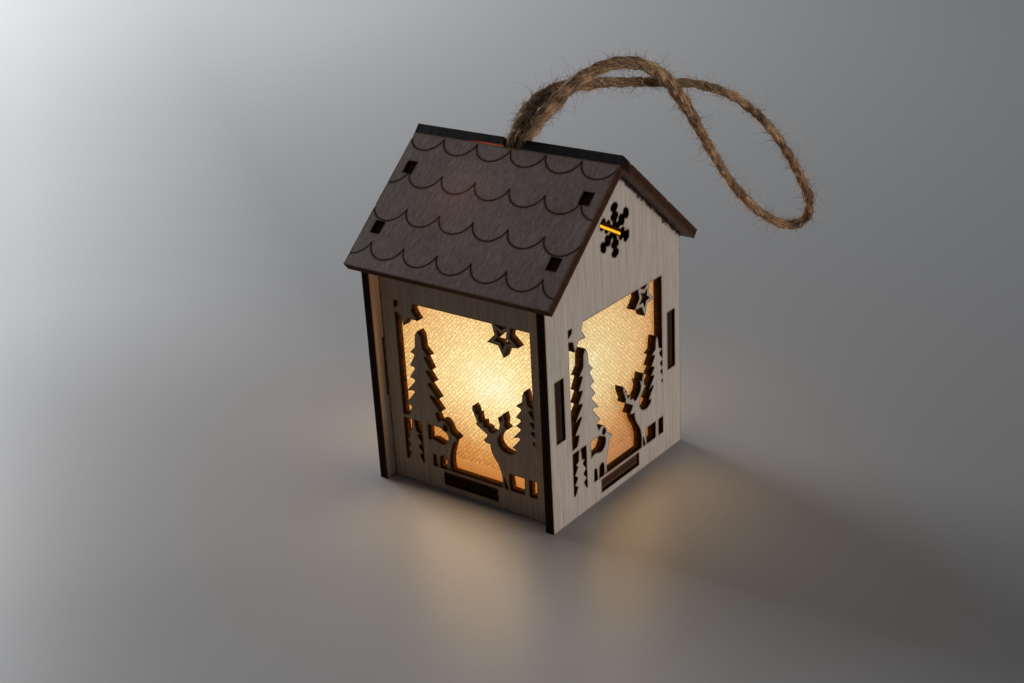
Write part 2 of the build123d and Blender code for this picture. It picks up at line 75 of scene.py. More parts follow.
# %% [markdown]
# ## Helpers for node trees
# Every finish is a tree of shader nodes, and the loose fibres are a tree of geometry nodes. Writing
# each link by hand is long, so small helpers add a node, set its values and connect its inputs in
# one call. A number or colour goes into the socket as a value, and a socket of another node is linked.

# %% Node helpers
def set_inputs(tree, node, inputs):
    """Link sockets and set values on the node's inputs, by name or by number."""
    for key, value in inputs.items():
        if isinstance(value, bpy.types.NodeSocket):
            tree.links.new(value, node.inputs[key])
        else:
            node.inputs[key].default_value = value


def add(tree, kind, inputs=None, **settings):
    """A new node of this kind with its settings and inputs."""
    node = tree.nodes.new(kind)
    for name, value in settings.items():
        setattr(node, name, value)
    set_inputs(tree, node, inputs or {})
    return node


def math_of(tree, operation, a, b=0.0):
    """The result of a Math node."""
    return add(tree, "ShaderNodeMath", {0: a, 1: b}, operation=operation).outputs[0]


def product_of(tree, first, *others):
    """Several values multiplied."""
    for other in others:
        first = math_of(tree, "MULTIPLY", first, other)
    return first


def sum_of(tree, first, *others):
    """Several values added."""
    for other in others:
        first = math_of(tree, "ADD", first, other)
    return first


def vector_of(tree, operation, a, b):
    """The vector that a Vector Math node gives."""
    return add(tree, "ShaderNodeVectorMath", {0: a, 1: b}, operation=operation).outputs["Vector"]


def dot_of(tree, a, direction):
    """The dot product of a vector and a fixed direction."""
    return add(tree, "ShaderNodeVectorMath", {0: a, 1: direction}, operation="DOT_PRODUCT").outputs["Value"]


def distance_of(tree, where, centre):
    """How far a place is from a fixed point."""
    apart = vector_of(tree, "SUBTRACT", where, centre)
    return add(tree, "ShaderNodeVectorMath", {0: apart}, operation="LENGTH").outputs["Value"]


def span_of(tree, value, low, high, to_low=0.0, to_high=1.0):
    """A value mapped from one span to another and kept inside it."""
    return add(tree, "ShaderNodeMapRange", {0: value, 1: low, 2: high, 3: to_low, 4: to_high}).outputs[0]


print("node helpers ready")

# %% [markdown]
# ## Helpers for colours
# A finish starts from noise. A ramp turns the noise into the few colours of the real surface, and a
# mix lays one finish over another where a mask says so. CAD pieces keep their meshes and only get
# new materials in their slots.

# %% Colour helpers
def mix_of(tree, factor, a, b, blend="MIX"):
    """The colour that a Mix node gives."""
    node = add(tree, "ShaderNodeMix", data_type="RGBA", blend_type=blend)
    set_inputs(tree, node, {0: factor, 6: a, 7: b})
    return node.outputs[2]


def ramp_of(tree, factor, stops):
    """A colour ramp through (place, colour) stops."""
    node = add(tree, "ShaderNodeValToRGB", {0: factor})
    elements = node.color_ramp.elements
    while len(elements) < len(stops):
        elements.new(0.5)
    for element, (place, colour) in zip(elements, stops):
        element.position = place
        element.color = (*colour, 1.0)
    return node.outputs[0]


def noise_of(tree, vector, scale, detail=3.0, roughness=0.55):
    """A noise value from 0 to 1."""
    inputs = {"Vector": vector, "Scale": scale, "Detail": detail, "Roughness": roughness}
    return add(tree, "ShaderNodeTexNoise", inputs).outputs[0]


def new_material(name):
    """An empty material with its tree, its shader and the piece's own coordinates."""
    material = bpy.data.materials.new(name)
    material.use_nodes = True
    tree = material.node_tree
    return material, tree, tree.nodes["Principled BSDF"], add(tree, "ShaderNodeTexCoord")


def dress(material, *names):
    """Give CAD nodes this material in place of their plain one."""
    for name in names:
        for slot in nodes[name].material_slots:
            slot.link = "OBJECT"
            slot.material = material


print("colour helpers ready")

# %% [markdown]
# ## The jute loop: its line
# The loop is a length of jute twine that leaves the ridge, arches back over the roof, folds and
# comes back. It hangs as stiff twine does, so its line is one smooth NURBS curve. Its points keep
# close to the CAD model's tube, and are measured in millimetres from the ridge.

# %% Line of the twine
millimetre = 0.001
ridge = Vector((0, 0, 85.932))
knot_top = 81.623
twine_points = [
    (-1.5, -0.25, knot_top - ridge.z), (-1.4, -0.25, 1.5), (-1.1, 2.0, 4.9), (-1.1, 5.6, 8.1),
    (-1.0, 10.6, 10.8), (0.3, 17.0, 12.4), (4.6, 26.2, 12.0), (10.0, 36.4, 10.7), (15.0, 46.0, 8.9),
    (20.4, 55.6, 6.9), (26.2, 64.6, 1.9), (31.6, 72.4, -7.1), (36.2, 78.4, -18.5), (39.4, 82.0, -28.9),
    (39.4, 82.6, -34.4), (36.8, 82.2, -37.8), (32.9, 79.2, -37.9), (29.8, 72.6, -33.4),
    (26.6, 63.0, -23.7), (24.0, 54.4, -11.1), (21.2, 47.4, 1.7), (18.4, 42.0, 10.5), (15.4, 37.2, 15.5),
    (11.4, 30.4, 17.5), (7.6, 22.4, 16.5), (5.2, 15.0, 13.0), (3.7, 8.4, 9.0), (2.2, 2.6, 4.8),
    (1.6, -0.25, 1.5), (1.6, -0.25, knot_top - ridge.z),
]


def line_points(name, points, closed=False, resolution=24):
    """Points along a smooth NURBS curve with these control points, in metres."""
    curve = bpy.data.curves.new(name, "CURVE")
    curve.dimensions = "3D"
    spline = curve.splines.new("NURBS")
    spline.points.add(len(points) - 1)
    for control, point in zip(spline.points, points):
        control.co = (*point, 1.0)
    spline.use_cyclic_u = closed
    spline.order_u = 3
    spline.use_endpoint_u = not closed
    spline.resolution_u = resolution
    guide = bpy.data.objects.new(name, curve)
    scene.collection.objects.link(guide)
    bpy.context.view_layer.update()
    mesh = bpy.data.meshes.new_from_object(guide.evaluated_get(bpy.context.evaluated_depsgraph_get()))
    line = np.array([vertex.co for vertex in mesh.vertices])
    bpy.data.objects.remove(guide)
    bpy.data.meshes.remove(mesh)
    return line


twine_line = line_points("twine_line", [(ridge + Vector(point)) * millimetre for point in twine_points])
twine_length = float(np.linalg.norm(np.diff(twine_line, axis=0), axis=1).sum())
print("twine length, mm:", round(twine_length * 1000, 1))

# %% [markdown]
# ## The jute loop: its plies
# The twine is two soft plies laid round each other, and hand-spun jute swells and thins along its
# way. Each ply follows a helix round the twine's line. A frame that doesn't spin is carried along the
# line first, so the lay keeps its pitch round the bends. Low ridges that wind round each ply are its
# yarns, and a random roughness breaks them up. A map in millimetres carries the streaks of the
# material, and an attribute keeps the direction of the ply for the loose fibres.

# %% Helpers for the lay
def carried_frames(line):
    """Tangents and two directions across a line, carried along it without spin."""
    tangents = np.gradient(line, axis=0)
    tangents /= np.linalg.norm(tangents, axis=1)[:, None]
    across = np.zeros_like(line)
    start = np.cross(tangents[0], (0.0, 1.0, 0.0))
    across[0] = start / np.linalg.norm(start)
    for i in range(1, len(line)):
        moved = across[i - 1] - tangents[i] * (across[i - 1] @ tangents[i])
        across[i] = moved / np.linalg.norm(moved)
    return tangents, across, np.cross(tangents, across)


def uneven(along, spacing, amount, chance):
    """A thickness that wanders about 1 along a length."""
    places = np.arange(0.0, along[-1] + spacing, spacing)
    return 1 + amount * np.interp(along, places, chance.uniform(-1, 1, len(places)))


def thickness_at(along, stops):
    """A thickness given at some shares of the length."""
    shares, values = zip(*stops)
    return np.interp(along / along[-1], shares, values)


def on_circle(angles, across, over):
    """Unit steps from a line at these angles round it."""
    return np.cos(angles)[:, None] * across + np.sin(angles)[:, None] * over


print("lay helpers ready")

# %% Twisted plies
# The offset and the radius of a ply are shares of the twine's diameter. Its map is in millimetres.
ply_offset = 0.13
ply_radius = 0.43
map_girth = 7.4
map_step = 9


def laid_twine(name, line, diameter, pitch, stops, plies=2, sides=20):
    """A mesh of plies laid round a line, with its map of fibres and the direction of each ply.

    The stops give the twine's thickness along its length.
    """
    _, across, over = carried_frames(line)
    along = np.concatenate([[0.0], np.cumsum(np.linalg.norm(np.diff(line, axis=0), axis=1))])
    chance = np.random.default_rng(7)
    swelling = thickness_at(along, stops) * uneven(along, spacing=0.007, amount=0.07, chance=chance)
    vertices, lay, faces, fibre_map = [], [], [], []
    for ply in range(plies):
        angle = 2 * math.pi * (along / pitch + ply / plies)
        centre = line + ply_offset * diameter * swelling[:, None] * on_circle(angle, across, over)
        wandering = uneven(along, spacing=0.004, amount=0.08, chance=chance)
        thick = ply_radius * diameter * swelling * wandering
        tangents, side_a, side_b = carried_frames(centre)
        first = len(vertices)
        ring_points = []
        for k in range(sides):
            turn = np.full(len(line), 2 * math.pi * k / sides)
            fine_yarns = 0.07 * np.cos(6 * turn + along / 0.0013)
            coarse_yarns = 0.05 * np.cos(3 * turn - along / 0.0021)
            broken = uneven(along, spacing=0.0014, amount=0.10, chance=chance)
            rough = thick * (1 + fine_yarns + coarse_yarns) * broken
            ring_points.append(centre + rough[:, None] * on_circle(turn, side_a, side_b))
        vertices.extend(np.stack(ring_points, axis=1).reshape(-1, 3))
        lay.extend(np.repeat(tangents, sides, axis=0))
        for i in range(len(line) - 1):
            here = first + i * sides
            for k in range(sides):
                following = (k + 1) % sides
                faces.append((here + k, here + following, here + sides + following, here + sides + k))
                for step, turn in ((i, k), (i, k + 1), (i + 1, k + 1), (i + 1, k)):
                    fibre_map.append((along[step] * 1000, map_girth * turn / sides + map_step * ply))
        last = first + (len(line) - 1) * sides
        faces.append(tuple(range(first + sides - 1, first - 1, -1)))
        faces.append(tuple(range(last, last + sides)))
        fibre_map.extend([(0.0, 0.0)] * (2 * sides))
    mesh = bpy.data.meshes.new(name)
    mesh.from_pydata([tuple(vertex) for vertex in vertices], [], faces)
    mesh.uv_layers.new(name="fibres").data.foreach_set("uv", np.array(fibre_map).ravel())
    mesh.attributes.new("lay", "FLOAT_VECTOR", "POINT").data.foreach_set("vector", np.array(lay).ravel())
    mesh.polygons.foreach_set("use_smooth", [True] * len(faces))
    twine = bpy.data.objects.new(name, mesh)
    scene.collection.objects.link(twine)
    return twine


twine_diameter = 0.0028
twine_pitch = 0.0098
twine_stops = [
    (0.0, 0.9), (0.02, 1.06), (0.06, 1.18), (0.12, 1.12), (0.18, 0.84), (0.36, 0.80), (0.5, 0.87),
    (0.6, 0.85), (0.7, 0.86), (0.76, 1.12), (0.82, 1.05), (0.88, 1.16), (0.94, 1.24), (0.98, 1.06),
    (1.0, 0.9),
]
twine = laid_twine("jute_loop", twine_line, twine_diameter, twine_pitch, twine_stops)
print("loop faces:", len(twine.data.polygons))

# %% [markdown]
# ## The knot
# Inside the roof the two ends are tied in a knot that stops the loop from pulling out. An overhand
# knot follows a trefoil, so the same plies are laid round one, squeezed into the place that the CAD
# model keeps for it.

# %% Knot
knot_low, knot_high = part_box("cord_knot")
knot_middle = (knot_low + knot_high) / 2
knot_reach = (knot_high - knot_low) / 2 - Vector((1.0, 1.0, 1.0)) * 0.5 * twine_diameter
trefoil_points = 24
trefoil = []
for step in range(trefoil_points):
    turn = 2 * math.pi * step / trefoil_points
    outwards = (2 + math.cos(3 * turn)) / 3
    point = Vector((outwards * math.cos(2 * turn), outwards * math.sin(2 * turn), math.sin(3 * turn)))
    trefoil.append(knot_middle + point * knot_reach)
knot_line = line_points("knot_line", trefoil, closed=True, resolution=12)
knot_line = np.vstack([knot_line, knot_line[:1]])
knot = laid_twine("jute_knot", knot_line, 0.85 * twine_diameter, twine_pitch, [(0.0, 1.0), (1.0, 1.0)])
print("knot faces:", len(knot.data.polygons))

# %% [markdown]
# ## Loose fibres
# Jute is hairy. Coarse fibres lie nearly along the plies, short ones make a soft rim, and long curly
# ones stand off. They repeat by the thousand, so Geometry Nodes scatter three bent hairs over the
# plies. Each hair points partly outwards and partly along the ply, with a random sweep, length and
# shade from a fixed seed. The tree ends in real mesh with its material, and is baked to a plain mesh.

# %% A hair
def hair_mesh(name, length, thickness, bend):
    """One fine bent hair that stands up along Z."""
    mesh_tools = bmesh.new()
    rings = []
    for step in range(4):
        rise = step / 3
        width = thickness * (1 - 0.7 * rise) / 2
        sway = 0.25 * bend * length * math.sin(3 * rise)
        middle = Vector((bend * length * rise * rise, sway, length * rise * 0.85))
        corners = [Vector((math.cos(angle), math.sin(angle), 0)) for angle in (0, 2.1, 4.2)]
        rings.append([mesh_tools.verts.new(middle + width * corner) for corner in corners])
    for low, high in zip(rings, rings[1:]):
        for k in range(3):
            mesh_tools.faces.new((low[k], low[(k + 1) % 3], high[(k + 1) % 3], high[k]))
    mesh_tools.faces.new(reversed(rings[0]))
    mesh_tools.faces.new(rings[-1])
    mesh = bpy.data.meshes.new(name)
    mesh_tools.to_mesh(mesh)
    mesh_tools.free()
    hair = bpy.data.objects.new(name, mesh)
    scene.collection.objects.link(hair)
    return hair


lying_hair = hair_mesh("lying_hair", length=0.0040, thickness=0.00018, bend=0.2)
short_hair = hair_mesh("short_hair", length=0.0030, thickness=0.00012, bend=0.6)
long_hair = hair_mesh("long_hair", length=0.0062, thickness=0.00010, bend=0.9)
print("hair faces:", len(short_hair.data.polygons))

# %% Scattering tree
def random_of(tree, kind, low, high, seed):
    """A random number or vector for each point."""
    node = add(tree, "FunctionNodeRandomValue", {"Seed": seed}, data_type=kind)
    first = 0 if kind == "FLOAT_VECTOR" else 2
    set_inputs(tree, node, {first: low, first + 1: high})
    return node.outputs[0 if kind == "FLOAT_VECTOR" else 1]


def scattered(tree, plies, density, hair, lift, sweep, seed):
    """Hairs on the plies, lifted off them and swept along them."""
    on_plies = {"Mesh": plies, "Density": density, "Seed": seed}
    points = add(tree, "GeometryNodeDistributePointsOnFaces", on_plies)
    lay = add(tree, "GeometryNodeInputNamedAttribute", {"Name": "lay"}, data_type="FLOAT_VECTOR").outputs[0]
    swept = random_of(tree, "FLOAT", -sweep, sweep, seed + 1)
    stray = random_of(tree, "FLOAT_VECTOR", (-0.4, -0.4, -0.4), (0.4, 0.4, 0.4), seed + 2)
    outwards = vector_of(tree, "MULTIPLY", points.outputs["Normal"], (lift, lift, lift))
    along_ply = vector_of(tree, "MULTIPLY", lay, swept)
    pointing = vector_of(tree, "ADD", vector_of(tree, "ADD", outwards, along_ply), stray)
    aligned = add(tree, "FunctionNodeAlignRotationToVector", {"Vector": pointing}, axis="Z").outputs[0]
    spin = random_of(tree, "FLOAT_VECTOR", (0.0, 0.0, -3.1), (0.0, 0.0, 3.1), seed + 3)
    spun = add(tree, "FunctionNodeEulerToRotation", {"Euler": spin}).outputs[0]
    turns = {0: aligned, 1: spun}
    turned = add(tree, "FunctionNodeRotateRotation", turns, rotation_space="LOCAL").outputs[0]
    size = random_of(tree, "FLOAT", 0.35, 1.0, seed + 4)
    source = add(tree, "GeometryNodeObjectInfo", {"Object": hair}).outputs["Geometry"]
    set_on = {"Points": points.outputs["Points"], "Instance": source, "Rotation": turned, "Scale": size}
    hairs = add(tree, "GeometryNodeInstanceOnPoints", set_on).outputs[0]
    shade = random_of(tree, "FLOAT", 0.0, 1.0, seed + 5)
    named = {"Geometry": hairs, "Name": "shade", "Value": shade}
    stored = add(tree, "GeometryNodeStoreNamedAttribute", named, data_type="FLOAT", domain="INSTANCE")
    return stored.outputs[0]


def fibre_tree(material, kinds):
    """Geometry Nodes for several kinds of fibres, with the identifiers of the inputs for their numbers.

    A kind is its name, its hair, how far it lifts off the ply, how far it sweeps along it, and a seed.
    """
    tree = bpy.data.node_groups.new("loose_fibres", "GeometryNodeTree")
    sockets = tree.interface
    sockets.new_socket("Plies", in_out="INPUT", socket_type="NodeSocketGeometry")
    inputs = []
    for kind in kinds:
        label = f"{kind[0]} fibres per square metre"
        inputs.append(sockets.new_socket(label, in_out="INPUT", socket_type="NodeSocketFloat").identifier)
    sockets.new_socket("Fibres", in_out="OUTPUT", socket_type="NodeSocketGeometry")
    ends = add(tree, "NodeGroupInput")
    joined = add(tree, "GeometryNodeJoinGeometry")
    for number, (_, hair, lift, sweep, seed) in enumerate(kinds, start=1):
        hairs = scattered(tree, ends.outputs[0], ends.outputs[number], hair, lift, sweep, seed)
        tree.links.new(hairs, joined.inputs[0])
    real = add(tree, "GeometryNodeRealizeInstances", {0: joined.outputs[0]})
    dressed = add(tree, "GeometryNodeSetMaterial", {"Geometry": real.outputs[0], "Material": material})
    add(tree, "NodeGroupOutput", {0: dressed.outputs[0]})
    return tree, inputs


print("scattering tree ready")

# %% Scattered fibres
fibre_material, fibre_nodes, fibre_shader, _ = new_material("jute_fibre")
scatter, number_inputs = fibre_tree(fibre_material, [
    ("Lying", lying_hair, 0.25, 1.5, 4),
    ("Short", short_hair, 0.4, 1.3, 20),
    ("Long", long_hair, 0.7, 1.1, 40),
])
fibres_per_square_metre = (360000.0, 600000.0, 170000.0)
carrier = bpy.data.objects.new("carrier", twine.data)
scene.collection.objects.link(carrier)
modifier = carrier.modifiers.new("fibres", "NODES")
modifier.node_group = scatter
for number_input, number in zip(number_inputs, fibres_per_square_metre):
    modifier[number_input] = number
bpy.context.view_layer.update()
carrier_now = carrier.evaluated_get(bpy.context.evaluated_depsgraph_get())
fibres = bpy.data.objects.new("jute_fibres", bpy.data.meshes.new_from_object(carrier_now))
scene.collection.objects.link(fibres)
for helper in (carrier, lying_hair, short_hair, long_hair):
    bpy.data.objects.remove(helper)
print("fibre faces:", len(fibres.data.polygons))

# %% [markdown]
# ## Jute: its colour
# The colour runs in streaks along the plies: light straw on some yarns and dark brown between them.
# The grooves between the plies get painted shade and are darkest there. The streaks read the map that
# was laid along each ply, so they turn with the lay. A sheen stands for the down that is too fine to
# model, and lights up the rim where the lamp is behind.

# %% Jute material
def jute(name, pale, middle, dark):
    """Twisted natural fibre, streaked along its plies."""
    material, tree, shader, place = new_material(name)
    drawn_out = add(tree, "ShaderNodeMapping", {"Vector": place.outputs["UV"], "Scale": (0.3, 5.0, 1.0)})
    streak = noise_of(tree, drawn_out.outputs[0], 1.0, 4.0, 0.7)
    blotch = noise_of(tree, place.outputs["Object"], 170.0, 2.0)
    tone = sum_of(tree, product_of(tree, streak, 0.75), product_of(tree, blotch, 0.4))
    colour = ramp_of(tree, tone, [(0.49, dark), (0.58, middle), (0.70, pale)])
    # Painted shade: the colour darkens to dark brown where the plies come close, in the grooves between
    # them.
    closeness_of_plies = add(tree, "ShaderNodeAmbientOcclusion", {"Distance": 0.0012}, samples=8, only_local=True)
    groove_shade = span_of(tree, closeness_of_plies.outputs["AO"], 0.42, 0.95, 0.95, 0.0)
    colour = mix_of(tree, groove_shade, colour, (*dark, 1.0))
    bump = add(tree, "ShaderNodeBump", {"Height": streak, "Strength": 1.0, "Distance": 0.0006})
    set_inputs(tree, shader, {
        "Base Color": colour, "Roughness": 0.85, "Normal": bump.outputs[0],
        "Sheen Weight": 0.5, "Sheen Roughness": 0.45, "Sheen Tint": (1.0, 0.72, 0.42, 1.0),
    })
    return material


jute_material = jute("jute", (0.86, 0.53, 0.29), (0.27, 0.135, 0.061), (0.012, 0.006, 0.003))
for piece in (twine, knot):
    piece.data.materials.append(jute_material)
fibre_shade = add(fibre_nodes, "ShaderNodeAttribute", attribute_name="shade").outputs["Fac"]
fibre_colour = ramp_of(fibre_nodes, fibre_shade, [
    (0.0, (0.025, 0.011, 0.005)), (0.45, (0.27, 0.135, 0.06)), (1.0, (0.98, 0.70, 0.44)),
])
set_inputs(fibre_nodes, fibre_shader, {"Base Color": fibre_colour, "Roughness": 0.7})
print("jute coloured")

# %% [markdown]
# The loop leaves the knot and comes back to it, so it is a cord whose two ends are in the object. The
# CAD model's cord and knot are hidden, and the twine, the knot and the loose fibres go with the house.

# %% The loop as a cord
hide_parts("hanging_cord")
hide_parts("cord_knot")
for piece in (twine, knot, fibres):
    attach(piece, "house")
print("jute done")

# %% [markdown]
# ## Plywood
# The panels are pale plywood cut by a laser. Their faces show fine straight grain with thin brown
# lines, and their cut edges are burnt, darkest in the middle layer. The burn fades out over the first
# half millimetre of each face. One recipe serves all panels. The normal tells a face from a cut edge,
# the depth under the face tells an engraved line, and a short look through the inside of the panel
# tells how near an edge is.

# %% Plywood grain
panel = 0.0025


def grain_of(tree, along, beside, length, width):
    """Noise drawn out along the grain, with streaks of this length and width."""
    place = add(tree, "ShaderNodeCombineXYZ", {
        0: math_of(tree, "DIVIDE", along, length),
        1: math_of(tree, "DIVIDE", beside, width),
    })
    return noise_of(tree, place.outputs[0], 1.0, 3.0, 0.6)


def face_of(tree, where, along, beside, streak, pale, dark):
    """The colour and the height of a sanded face."""
    length, width = streak
    broad = grain_of(tree, along, beside, length, width)
    fine = grain_of(tree, along, beside, 0.2 * length, 0.25 * width)
    drawn = grain_of(tree, along, beside, 3 * length, 0.8 * width)
    cloud = noise_of(tree, where, 60.0, 2.0)
    tone = sum_of(
        tree, product_of(tree, broad, 0.5), product_of(tree, fine, 0.35), product_of(tree, cloud, 0.25),
    )
    colour = ramp_of(tree, tone, [(0.42, dark), (0.66, pale)])
    off_line = math_of(tree, "ABSOLUTE", math_of(tree, "SUBTRACT", drawn, 0.5))
    brown_line = span_of(tree, off_line, 0.0, 0.03, 0.45, 0.0)
    colour = mix_of(tree, brown_line, colour, (0.22, 0.14, 0.085, 1.0))
    return colour, sum_of(tree, product_of(tree, broad, 0.6), product_of(tree, fine, 1.4))


print("grain ready")

# %% Plywood material
deep_char = [(0.25, (0.005, 0.003, 0.002)), (0.6, (0.022, 0.009, 0.005)), (0.95, (0.09, 0.034, 0.015))]
open_char = [(0.25, (0.024, 0.011, 0.007)), (0.6, (0.064, 0.027, 0.015)), (0.95, (0.16, 0.068, 0.034))]
tab_end = 0.02805
roof_end = 0.0305
burn_reach = 0.0005
# A surface looks the same way as a direction when their dot product is over this.
same_way = 0.7


def open_ends(tree, where, normal):
    """Where a cut end lies in the open: the ends of the walls' tabs, and the roof's ends and eaves."""
    out = math_of(tree, "ABSOLUTE", dot_of(tree, where, (1, 0, 0)))
    aside = math_of(tree, "ABSOLUTE", dot_of(tree, where, (0, 1, 0)))
    looks_out = math_of(tree, "ABSOLUTE", dot_of(tree, normal, (1, 0, 0)))
    sideways = math_of(tree, "GREATER_THAN", looks_out, same_way)
    off_tab = math_of(tree, "ABSOLUTE", math_of(tree, "SUBTRACT", out, tab_end))
    on_tab = product_of(tree, sideways, math_of(tree, "LESS_THAN", off_tab, 0.0002))
    on_roof = math_of(tree, "GREATER_THAN", math_of(tree, "MAXIMUM", out, aside), roof_end)
    return math_of(tree, "MAXIMUM", on_tab, on_roof)


def plywood(name, facing, grain, middle, streak, pale, dark, relief, engraved=False):
    """Laser-cut plywood, with the parts of its tree that later finishes use.

    Its faces look along facing, its grain runs along grain, and middle is how far its middle layer
    lies from the origin. Relief is the depth of the grain.
    """
    material, tree, shader, place = new_material(name)
    facing = Vector(facing).normalized()
    grain = Vector(grain).normalized()
    where, normal = place.outputs["Object"], place.outputs["Normal"]
    along = dot_of(tree, where, grain)
    beside = dot_of(tree, where, facing.cross(grain))
    through = math_of(tree, "ABSOLUTE", dot_of(tree, where, facing))
    depth = math_of(tree, "DIVIDE", math_of(tree, "SUBTRACT", through, middle), panel / 2)
    face_colour, height = face_of(tree, where, along, beside, streak, pale, dark)

    near_edge = {"Distance": burn_reach}
    nearness = add(tree, "ShaderNodeAmbientOcclusion", near_edge, samples=8, inside=True, only_local=True)
    halo = span_of(tree, nearness.outputs["AO"], 0.72, 1.0, 0.6, 0.0)
    face_colour = mix_of(tree, halo, face_colour, (0.17, 0.085, 0.04, 1.0))
    if engraved:
        sunk = math_of(tree, "LESS_THAN", depth, 0.92)
        outer = math_of(tree, "GREATER_THAN", dot_of(tree, normal, facing), same_way)
        face_colour = mix_of(tree, product_of(tree, sunk, outer), face_colour, (0.10, 0.045, 0.019, 1.0))

    char = noise_of(tree, where, 1100.0, 3.0)
    from_middle = math_of(tree, "ABSOLUTE", depth)
    burn = sum_of(tree, product_of(tree, char, 0.6), product_of(tree, from_middle, 0.4))
    in_open = open_ends(tree, where, normal)
    burnt = mix_of(tree, in_open, ramp_of(tree, burn, deep_char), ramp_of(tree, burn, open_char))
    faced = math_of(tree, "ABSOLUTE", dot_of(tree, normal, facing))
    is_edge = math_of(tree, "LESS_THAN", faced, same_way)
    bump = add(tree, "ShaderNodeBump", {"Height": height, "Strength": 1.0, "Distance": relief})
    set_inputs(tree, shader, {
        "Base Color": mix_of(tree, is_edge, face_colour, burnt), "Normal": bump.outputs[0],
        "Roughness": span_of(tree, height, 0.6, 1.4, 0.68, 0.85), "Specular IOR Level": 0.06,
    })
    return {
        "material": material, "tree": tree, "shader": shader, "where": where,
        "beside": beside, "depth": depth, "is_edge": is_edge, "char": char,
    }


def glow_on(wood, factor, colour):
    """Light of this colour on the wood where the factor says so, over any that is there already."""
    tree = wood["tree"]
    socket = wood["shader"].inputs["Emission Color"]
    before = socket.links[0].from_socket if socket.is_linked else (0.0, 0.0, 0.0, 1.0)
    light = mix_of(tree, factor, before, (*colour, 1.0))
    set_inputs(tree, wood["shader"], {"Emission Color": light, "Emission Strength": 1.0})


def stain_on(wood, factor, colour):
    """A stain of this colour over the wood where the factor says so."""
    tree = wood["tree"]
    socket = wood["shader"].inputs["Base Color"]
    stained = mix_of(tree, factor, socket.links[0].from_socket, (*colour, 1.0))
    tree.links.new(stained, socket)


print("plywood recipe ready")

# %% [markdown]
# ## Plywood walls and base
# The grain of the gables and of the side walls runs upwards. The side walls' wood is painted warmer,
# as painted light for the light that shines through them a little. Painted light also soaks into
# the cut edges round the windows, most where they touch the fabric, and gilds the lips of the gables
# beside the walls. Above the fabric a narrow line of painted light crosses the inner side of each
# side wall, with painted shade beside it, and shows through the snowflake. The walls' ends are darker.

# %% Walls and base
gable_pale, gable_dark = (0.475, 0.415, 0.365), (0.395, 0.33, 0.28)
# The side walls' colours are a little warmer as painted light, for the light that shines through them.
side_pale, side_dark = (0.46, 0.35, 0.26), (0.33, 0.24, 0.17)
wall_streak = (0.020, 0.0011)
wall_relief = 0.00006
upright = (0, 0, 1)
window_bottom, window_top = 6.4, 51.4
liner_top = 0.0557
gable_middle, side_middle, base_middle = 0.0273, 0.0254, 0.00375
side_outside = 0.0266
inner_face = -0.9
line_tilt = (0.17, 0, 1)
line_place = 0.06175
line_core, line_rim = 0.00020, 0.00055
# A near-black brown, for painted shade and for the darker ends of the side walls.
shade_and_end_colour = (0.020, 0.011, 0.007)


def lit_window_edges(wood, window_half_width, colour):
    """Light of the liner on the cut edges of a window."""
    tree = wood["tree"]
    height = dot_of(tree, wood["where"], upright)
    reach = (window_half_width + 0.2) * millimetre
    beside_window = math_of(tree, "LESS_THAN", math_of(tree, "ABSOLUTE", wood["beside"]), reach)
    above_sill = math_of(tree, "GREATER_THAN", height, (window_bottom - 0.2) * millimetre)
    below_lintel = math_of(tree, "LESS_THAN", height, (window_top + 0.2) * millimetre)
    inner = span_of(tree, wood["depth"], 0.4, -0.9)
    patchy = span_of(tree, wood["char"], 0.32, 0.62, 0.1, 1.0)
    factor = product_of(tree, wood["is_edge"], beside_window, above_sill, below_lintel, inner, patchy)
    glow_on(wood, factor, colour)


gable_wood = plywood(
    "plywood_gable", (1, 0, 0), upright, gable_middle, wall_streak, gable_pale, gable_dark, wall_relief,
)
lit_window_edges(gable_wood, 20.95, (0.05, 0.013, 0.002))
tree = gable_wood["tree"]
# Painted light on the inner faces of the gables' lips beside the walls, growing towards the eaves.
past_wall = math_of(tree, "GREATER_THAN", math_of(tree, "ABSOLUTE", gable_wood["beside"]), side_outside)
inside = math_of(tree, "LESS_THAN", gable_wood["depth"], inner_face)
towards_eaves = span_of(tree, dot_of(tree, gable_wood["where"], upright), 0.015, 0.055)
glow_on(gable_wood, product_of(tree, past_wall, inside, towards_eaves), (0.07, 0.028, 0.009))
dress(gable_wood["material"], "gable_right", "gable_left")
side_wood = plywood(
    "plywood_side", (0, 1, 0), upright, side_middle, wall_streak, side_pale, side_dark, wall_relief,
)
lit_window_edges(side_wood, 21.4, (0.12, 0.030, 0.003))
tree = side_wood["tree"]
# Painted light: a narrow bright line across the inner side of each side wall, above the fabric.
height = dot_of(tree, side_wood["where"], upright)
over_liner = math_of(tree, "GREATER_THAN", height, liner_top)
slanted = dot_of(tree, side_wood["where"], line_tilt)
off_line = math_of(tree, "ABSOLUTE", math_of(tree, "SUBTRACT", slanted, line_place))
inside = math_of(tree, "LESS_THAN", side_wood["depth"], inner_face)
on_line = product_of(tree, over_liner, span_of(tree, off_line, line_core, line_rim, 1.0, 0.0), inside)
glow_on(side_wood, on_line, (0.95, 0.45, 0.015))
# Painted shade beside that line, over the rest of the inner side above the fabric.
shade_beside_line = product_of(tree, over_liner, span_of(tree, off_line, line_core, line_rim), inside)
stain_on(side_wood, shade_beside_line, shade_and_end_colour)
